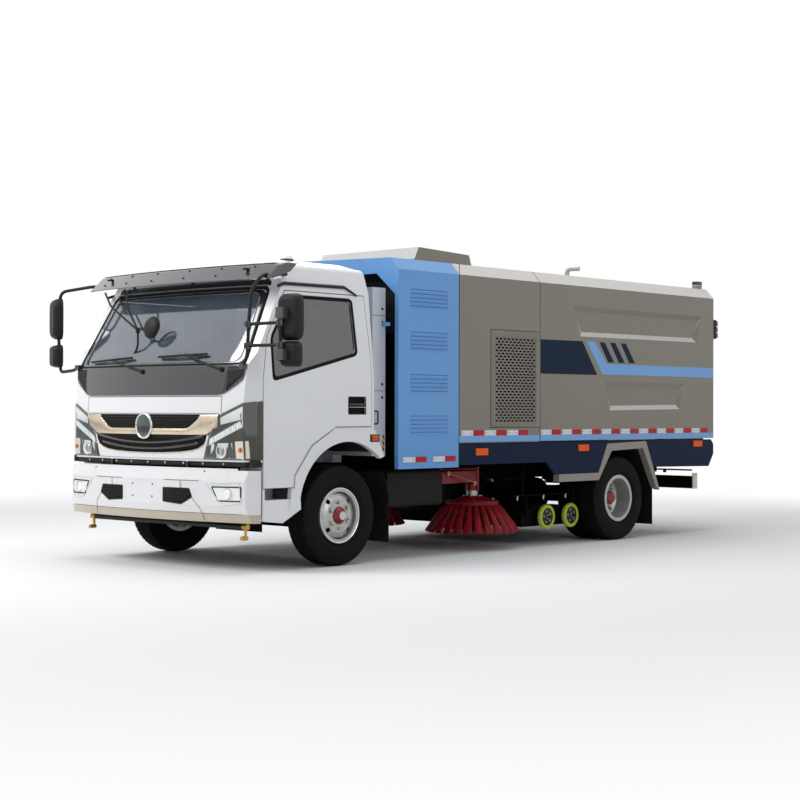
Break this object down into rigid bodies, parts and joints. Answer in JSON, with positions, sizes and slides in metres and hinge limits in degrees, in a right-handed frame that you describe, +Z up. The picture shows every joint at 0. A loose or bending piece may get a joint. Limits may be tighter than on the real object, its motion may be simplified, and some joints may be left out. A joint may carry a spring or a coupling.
{
  "type": "street sweeper truck",
  "caption": "Two-axle suction street sweeper truck with a tilting cab, louvred cowl, side brushes, suction nozzle and a tipping hopper with a top-hung tail door.",
  "frame": {"origin": "on the ground under the middle of the truck", "axes": "+X towards the driver's side (left), front faces -Y, +Z up"},
  "size_m": [3.2493, 6.6498, 2.68],
  "materials": {
    "cab_paint": "off-white gloss",
    "cowl_paint": "sky blue gloss",
    "body_paint": "taupe grey gloss",
    "skirt_paint": "navy gloss",
    "trim_grey": "warm grey",
    "chassis_black": "satin black",
    "gear_red": "dark red",
    "cabinet_paint": "light grey",
    "wheel_silver": "silver",
    "battery_grey": "dark grey",
    "ram_steel": "ground",
    "tyre_rubber": "matt",
    "wheel_polyurethane": "yellow-green",
    "flap_rubber": "matt",
    "bristle": "dark red",
    "dark_gloss": "smoked",
    "grille_plastic": "dark with a bright band",
    "black_plastic": "grained",
    "bumper_plastic": "off-white",
    "seat_fabric": "woven",
    "lamp_clear": "clear lens",
    "lamp_amber": "amber lens",
    "lamp_red": "red lens",
    "window_glass": "tinted",
    "spray_brass": "plain"
  },
  "bodies": {
    "chassis": {"chassis_frame": "chassis_black", "front_axle": "chassis_black", "rear_axle": "chassis_black", "leaf_springs": "chassis_black", "battery_boxes": "battery_grey", "front_bumper": "bumper_plastic", "fog_lamps": "lamp_clear", "spray_bar": "spray_brass", "equipment_cabinet": "cabinet_paint", "mudguards": "flap_rubber", "front_cowl": "cowl_paint", "service_bay": "body_paint", "fan_unit": "battery_grey", "side_skirts": "skirt_paint", "arch_trims": "trim_grey", "rear_underrun": "chassis_black", "marker_lamps": "lamp_amber"},
    "cab": {"cab_shell": "cab_paint", "cab_steps": "cab_paint", "windscreen": "window_glass", "front_panel": "dark_gloss", "grille": "grille_plastic", "headlamps": "lamp_clear", "sun_visor": "dark_gloss", "mirror_left": "black_plastic", "mirror_right": "black_plastic", "wipers": "black_plastic", "seats": "seat_fabric", "dashboard": "black_plastic", "beacon": "lamp_amber"},
    "door_left": {"door_left": "cab_paint", "door_glass_left": "window_glass"},
    "door_right": {"door_right": "cab_paint", "door_glass_right": "window_glass"},
    "knuckle_left": {"knuckle_left": "chassis_black"},
    "knuckle_right": {"knuckle_right": "chassis_black"},
    "front_wheel_left": {"front_tyre_left": "tyre_rubber", "front_rim_left": "wheel_silver"},
    "front_wheel_right": {"front_tyre_right": "tyre_rubber", "front_rim_right": "wheel_silver"},
    "rear_wheels_left": {"rear_tyres_left": "tyre_rubber", "rear_rims_left": "wheel_silver"},
    "rear_wheels_right": {"rear_tyres_right": "tyre_rubber", "rear_rims_right": "wheel_silver"},
    "mesh_door_left": {"mesh_door_left": "body_paint"},
    "mesh_door_right": {"mesh_door_right": "body_paint"},
    "brush_arm_left": {"brush_arm_left": "gear_red"},
    "brush_arm_right": {"brush_arm_right": "gear_red"},
    "side_brush_left": {"side_brush_left": "bristle"},
    "side_brush_right": {"side_brush_right": "bristle"},
    "suction_nozzle": {"suction_nozzle": "chassis_black"},
    "nozzle_wheel_front_left": {"nozzle_wheel_front_left": "wheel_polyurethane"},
    "nozzle_wheel_rear_left": {"nozzle_wheel_rear_left": "wheel_polyurethane"},
    "nozzle_wheel_front_right": {"nozzle_wheel_front_right": "wheel_polyurethane"},
    "nozzle_wheel_rear_right": {"nozzle_wheel_rear_right": "wheel_polyurethane"},
    "hopper": {"hopper_shell": "body_paint", "tail_lamps": "lamp_red"},
    "tail_door": {"tail_door": "body_paint"},
    "ram_barrel": {"tip_ram_barrel": "chassis_black"},
    "ram_rod": {"tip_ram_rod": "ram_steel"}
  },
  "joints": [
    {"name": "cab_tilt", "type": "hinge", "parent": "chassis", "child": "cab", "pos_m": [0, -3.235, 0.8], "axis": [1, 0, 0], "range_deg": [0, 45]},
    {"name": "door_left_swing", "type": "hinge", "parent": "cab", "child": "door_left", "pos_m": [1.118, -3.053, 1.3], "axis": [0, 0, -1], "range_deg": [0, 65]},
    {"name": "door_right_swing", "type": "hinge", "parent": "cab", "child": "door_right", "pos_m": [-1.118, -3.053, 1.3], "axis": [0, 0, 1], "range_deg": [0, 65]},
    {"name": "steer_left", "type": "hinge", "parent": "chassis", "child": "knuckle_left", "pos_m": [0.85, -2.195, 0.402], "axis": [0, 0, 1], "range_deg": [-35, 35]},
    {"name": "steer_right", "type": "hinge", "parent": "chassis", "child": "knuckle_right", "pos_m": [-0.85, -2.195, 0.402], "axis": [0, 0, 1], "range_deg": [-35, 35]},
    {"name": "front_left_spin", "type": "hinge", "parent": "knuckle_left", "child": "front_wheel_left", "pos_m": [0.98, -2.195, 0.402], "axis": [1, 0, 0], "continuous": true},
    {"name": "front_right_spin", "type": "hinge", "parent": "knuckle_right", "child": "front_wheel_right", "pos_m": [-0.98, -2.195, 0.402], "axis": [1, 0, 0], "continuous": true},
    {"name": "rear_left_spin", "type": "hinge", "parent": "chassis", "child": "rear_wheels_left", "pos_m": [0.861, 1.605, 0.402], "axis": [1, 0, 0], "continuous": true},
    {"name": "rear_right_spin", "type": "hinge", "parent": "chassis", "child": "rear_wheels_right", "pos_m": [-0.861, 1.605, 0.402], "axis": [1, 0, 0], "continuous": true},
    {"name": "mesh_door_left_swing", "type": "hinge", "parent": "chassis", "child": "mesh_door_left", "pos_m": [1.1195, -0.3715, 1.5], "axis": [0, 0, -1], "range_deg": [0, 95]},
    {"name": "mesh_door_right_swing", "type": "hinge", "parent": "chassis", "child": "mesh_door_right", "pos_m": [-1.1195, -0.3715, 1.5], "axis": [0, 0, 1], "range_deg": [0, 95]},
    {"name": "brush_arm_left_swing", "type": "hinge", "parent": "chassis", "child": "brush_arm_left", "pos_m": [0.8, -0.715, 0.69], "axis": [0, 0, -1], "range_deg": [0, 25]},
    {"name": "brush_arm_right_swing", "type": "hinge", "parent": "chassis", "child": "brush_arm_right", "pos_m": [-0.8, -0.715, 0.69], "axis": [0, 0, 1], "range_deg": [0, 25]},
    {"name": "side_brush_left_spin", "type": "hinge", "parent": "brush_arm_left", "child": "side_brush_left", "pos_m": [0.7, -0.126, 0.45], "axis": [0, 0, 1], "continuous": true},
    {"name": "side_brush_right_spin", "type": "hinge", "parent": "brush_arm_right", "child": "side_brush_right", "pos_m": [-0.7, -0.126, 0.45], "axis": [0, 0, 1], "continuous": true},
    {"name": "nozzle_lift", "type": "slide", "parent": "chassis", "child": "suction_nozzle", "axis": [0, 0, 1], "range_m": [-0.13, 0]},
    {"name": "nozzle_wheel_front_left_spin", "type": "hinge", "parent": "suction_nozzle", "child": "nozzle_wheel_front_left", "pos_m": [0.925, 0.671, 0.257], "axis": [1, 0, 0], "continuous": true},
    {"name": "nozzle_wheel_rear_left_spin", "type": "hinge", "parent": "suction_nozzle", "child": "nozzle_wheel_rear_left", "pos_m": [0.925, 1.037, 0.257], "axis": [1, 0, 0], "continuous": true},
    {"name": "nozzle_wheel_front_right_spin", "type": "hinge", "parent": "suction_nozzle", "child": "nozzle_wheel_front_right", "pos_m": [-0.925, 0.671, 0.257], "axis": [1, 0, 0], "continuous": true},
    {"name": "nozzle_wheel_rear_right_spin", "type": "hinge", "parent": "suction_nozzle", "child": "nozzle_wheel_rear_right", "pos_m": [-0.925, 1.037, 0.257], "axis": [1, 0, 0], "continuous": true},
    {"name": "hopper_tip", "type": "hinge", "parent": "chassis", "child": "hopper", "pos_m": [0, 3.155, 0.905], "axis": [-1, 0, 0], "range_deg": [0, 45]},
    {"name": "tail_door_swing", "type": "hinge", "parent": "hopper", "child": "tail_door", "pos_m": [0, 3.24, 2.455], "axis": [1, 0, 0], "range_deg": [0, 80]},
    {"name": "ram_barrel_swing", "type": "hinge", "parent": "chassis", "child": "ram_barrel", "pos_m": [0, 2, 0.66], "axis": [-1, 0, 0], "range_deg": [0, 66]},
    {"name": "ram_rod_slide", "type": "slide", "parent": "ram_barrel", "child": "ram_rod", "axis": [0, -0.9738, 0.2272], "range_m": [0, 0.78]}
  ],
  "couplings": [
    {"joint": "steer_right", "follows": "steer_left", "ratio": 1},
    {"joint": "ram_barrel_swing", "follows": "hopper_tip", "ratio": 1.4275},
    {"joint": "ram_rod_slide", "follows": "hopper_tip", "m_per_rad": 0.9812}
  ]
}
